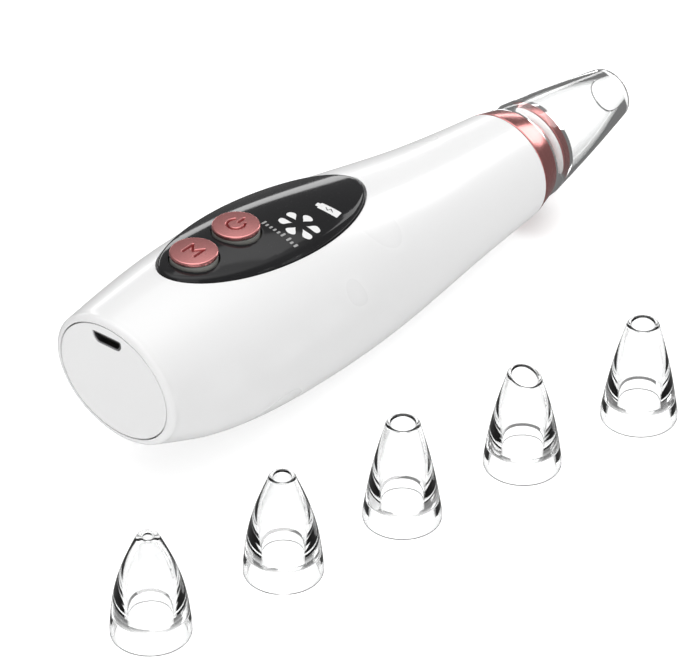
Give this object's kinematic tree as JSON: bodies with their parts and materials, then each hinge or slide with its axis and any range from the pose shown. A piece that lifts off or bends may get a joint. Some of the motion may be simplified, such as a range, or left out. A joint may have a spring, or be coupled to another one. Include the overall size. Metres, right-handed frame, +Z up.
{
  "type": "blackhead vacuum extractor",
  "caption": "Cordless suction pore cleaner with an oval button panel, a rose-gold nose band, a clear fitted suction head and loose spare heads.",
  "frame": {"origin": "middle of the small resting flat on the belly, on the surface that the device and its spare heads stand on", "axes": "+X along the body towards the suction head, +Y to the far side from the spare heads, +Z up through the button panel"},
  "size_m": [0.2165, 0.1005, 0.0475],
  "materials": {
    "white_plastic": "gloss white moulding",
    "smoked_panel": "dark gloss window with a rounded edge",
    "rose_gold": "rose-gold plated plastic, satin",
    "grey_plastic": "matt grey moulding",
    "black_plastic": "matt black moulding",
    "circuit_board": "green solder mask",
    "steel": "plated steel",
    "cell_sleeve": "blue shrink sleeve; aluminium stands for the cell's density",
    "lamp_plastic": "milky light guide",
    "dark_rubber": "soft dark rubber",
    "white_silicone": "white silicone",
    "filter_foam": "open foam",
    "clear_acrylic": "clear polished acrylic"
  },
  "bodies": {
    "handpiece": {"main_shell": "white_plastic", "tail_cap": "white_plastic", "panel_window": "smoked_panel", "nose_band": "rose_gold", "nose_spigot": "rose_gold", "filter_cap": "rose_gold", "chassis_plate": "grey_plastic", "pump_bracket": "grey_plastic", "mode_switch": "black_plastic", "power_switch": "black_plastic", "controller_chip": "black_plastic", "port_tongue": "black_plastic", "pump_housing": "black_plastic", "pump_cover": "black_plastic", "control_board": "circuit_board", "charge_board": "circuit_board", "board_screw_1": "steel", "board_screw_2": "steel", "board_screw_3": "steel", "board_screw_4": "steel", "port_shell": "steel", "motor_can": "steel", "battery_cell": "cell_sleeve", "icon_led_1": "lamp_plastic", "icon_led_2": "lamp_plastic", "icon_led_3": "lamp_plastic", "icon_light_guide": "lamp_plastic", "pump_diaphragm": "dark_rubber", "suction_hose": "dark_rubber", "spigot_seal_ring": "white_silicone", "filter_sponge": "filter_foam"},
    "mode_button": {"mode_button_cap": "rose_gold", "mode_button_skirt": "grey_plastic"},
    "power_button": {"power_button_cap": "rose_gold", "power_button_skirt": "grey_plastic"},
    "pump_rotor": {"motor_shaft": "steel", "pump_crank": "black_plastic"},
    "fitted_head": {"suction_head": "clear_acrylic"},
    "spare_1": {"spare_head_1": "clear_acrylic"},
    "spare_2": {"spare_head_2": "clear_acrylic"},
    "spare_3": {"spare_head_3": "clear_acrylic"},
    "spare_4": {"spare_head_4": "clear_acrylic"},
    "spare_5": {"spare_head_5": "clear_acrylic"}
  },
  "joints": [
    {"name": "mode_press", "type": "slide", "parent": "handpiece", "child": "mode_button", "axis": [0, 0, -1], "range_m": [0, 0.0006], "stiffness_N_per_m": 1500, "springref_m": -0.0002},
    {"name": "power_press", "type": "slide", "parent": "handpiece", "child": "power_button", "axis": [0, 0, -1], "range_m": [0, 0.0006], "stiffness_N_per_m": 1500, "springref_m": -0.0002},
    {"name": "motor_spin", "type": "hinge", "parent": "handpiece", "child": "pump_rotor", "pos_m": [0.02, 0, 0.015], "axis": [1, 0, 0], "continuous": true},
    {"name": "head_pull", "type": "slide", "parent": "handpiece", "child": "fitted_head", "axis": [1, 0, 0], "range_m": [0, 0.012]},
    {"name": "spare_1_lift", "type": "slide", "parent": "handpiece", "child": "spare_1", "axis": [0, 0, 1], "range_m": [0, 0.04]},
    {"name": "spare_2_lift", "type": "slide", "parent": "handpiece", "child": "spare_2", "axis": [0, 0, 1], "range_m": [0, 0.04]},
    {"name": "spare_3_lift", "type": "slide", "parent": "handpiece", "child": "spare_3", "axis": [0, 0, 1], "range_m": [0, 0.04]},
    {"name": "spare_4_lift", "type": "slide", "parent": "handpiece", "child": "spare_4", "axis": [0, 0, 1], "range_m": [0, 0.04]},
    {"name": "spare_5_lift", "type": "slide", "parent": "handpiece", "child": "spare_5", "axis": [0, 0, 1], "range_m": [0, 0.04]}
  ]
}
